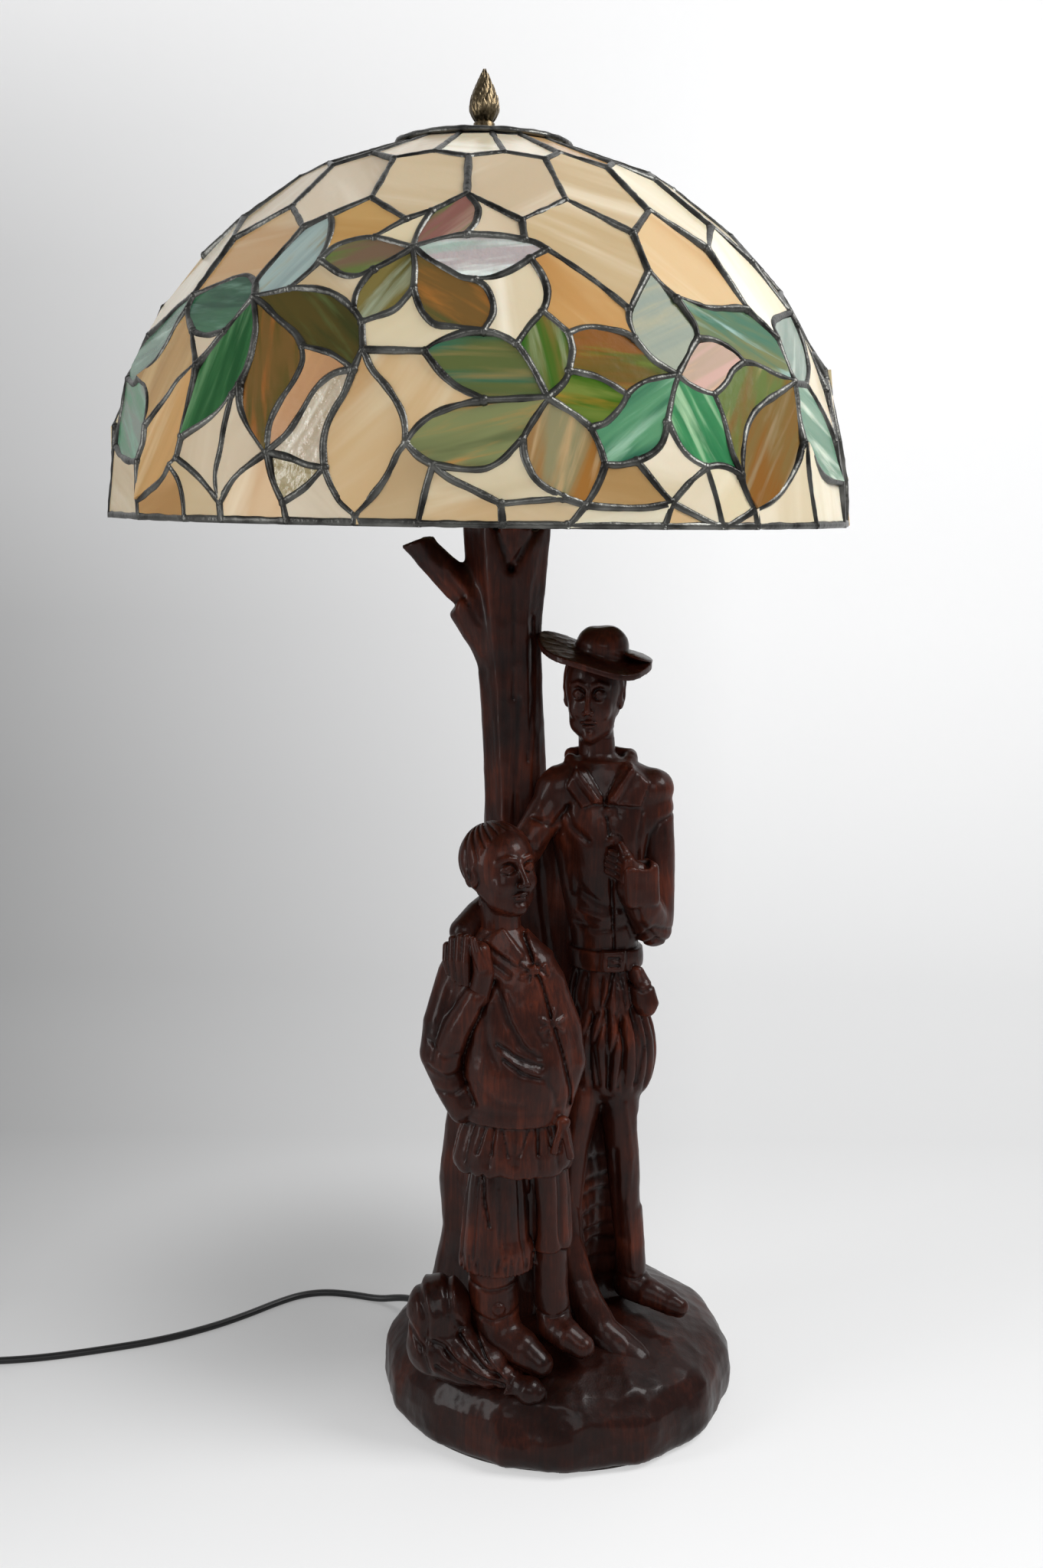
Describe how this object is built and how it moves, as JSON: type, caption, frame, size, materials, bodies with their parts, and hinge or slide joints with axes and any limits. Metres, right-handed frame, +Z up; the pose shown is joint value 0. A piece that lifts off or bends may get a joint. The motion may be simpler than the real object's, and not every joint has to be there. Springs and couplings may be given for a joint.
{
  "type": "figural table lamp",
  "caption": "Table lamp with a leaded-glass dome shade on a carved wooden tree-trunk stand with two small carved wayfarers.",
  "frame": {"origin": "on the floor under the middle of the shade", "axes": "+Z up, the front of the lamp towards -Y, +X to the viewer's right"},
  "size_m": [0.7469, 0.4538, 0.8473],
  "materials": {
    "leading": "dark patinated solder, half-round and slightly lumpy",
    "glass_cream": "opalescent cream art glass",
    "glass_amber": "amber-cream streaked art glass",
    "glass_green": "green streaked art glass",
    "glass_olive": "olive and brown streaked art glass",
    "glass_teal": "pale teal streaked art glass",
    "glass_pearl": "rippled pearly art glass",
    "dark_brass": "dark patinated brass",
    "brass": "plain brass",
    "bronze": "antique bronze",
    "bakelite": "moulded dark plastic",
    "bulb_cap": "threaded cap",
    "bulb_glass": "frosted bulb glass",
    "carved_wood": "very dark red-brown stained carved wood, glossy",
    "felt": "felt",
    "black_plastic": "moulded plastic",
    "switch_rocker": "moulded plastic",
    "steel": "turned steel",
    "plug_pin": "nickel plated"
  },
  "bodies": {
    "stand": {"lock_nut": "brass", "lower_rod": "brass", "upper_rod": "brass", "seat_ring": "brass", "lower_riser": "bronze", "upper_riser": "bronze", "cluster_body": "bronze", "cluster_lid": "bronze", "holder_arm_left": "brass", "holder_arm_right": "brass", "lampholder_left": "bakelite", "lampholder_right": "bakelite", "base_mound": "carved_wood", "tree_trunk": "carved_wood", "tall_figure": "carved_wood", "short_figure": "carved_wood", "bundle": "carved_wood", "felt_pad": "felt", "cord_bushing": "black_plastic", "inner_cord": "black_plastic", "cord_lead": "black_plastic", "cord_middle": "black_plastic", "cord_coil": "black_plastic", "cord_tail": "black_plastic", "switch_base": "black_plastic", "switch_cover": "black_plastic", "switch_pin": "steel", "plug_body": "black_plastic", "plug_pin_1": "plug_pin", "plug_pin_2": "plug_pin"},
    "shade": {"shade_leading": "leading", "glass_cream": "glass_cream", "glass_amber": "glass_amber", "glass_green": "glass_green", "glass_olive": "glass_olive", "glass_teal": "glass_teal", "glass_pearl": "glass_pearl", "crown_ring": "dark_brass", "shade_cap": "dark_brass"},
    "finial": {"finial": "bronze"},
    "bulb_left": {"bulb_cap_left": "bulb_cap", "bulb_glass_left": "bulb_glass"},
    "bulb_right": {"bulb_cap_right": "bulb_cap", "bulb_glass_right": "bulb_glass"},
    "rocker": {"switch_rocker": "switch_rocker"}
  },
  "joints": [
    {"name": "shade_turn", "type": "hinge", "parent": "stand", "child": "shade", "pos_m": [0, 0, 0.8], "axis": [0, 0, 1], "continuous": true},
    {"name": "finial_turn", "type": "hinge", "parent": "stand", "child": "finial", "pos_m": [0, 0, 0.82], "axis": [0, 0, 1], "continuous": true},
    {"name": "bulb_left_turn", "type": "hinge", "parent": "stand", "child": "bulb_left", "pos_m": [0, 0, 0.654], "axis": [-0.9511, 0, 0.309], "continuous": true},
    {"name": "bulb_right_turn", "type": "hinge", "parent": "stand", "child": "bulb_right", "pos_m": [0, 0, 0.654], "axis": [0.9511, 0, 0.309], "continuous": true},
    {"name": "switch_press", "type": "hinge", "parent": "stand", "child": "rocker", "pos_m": [-0.394, -0.002, 0.0091], "axis": [0, 1, 0], "range_deg": [0, 24]}
  ]
}
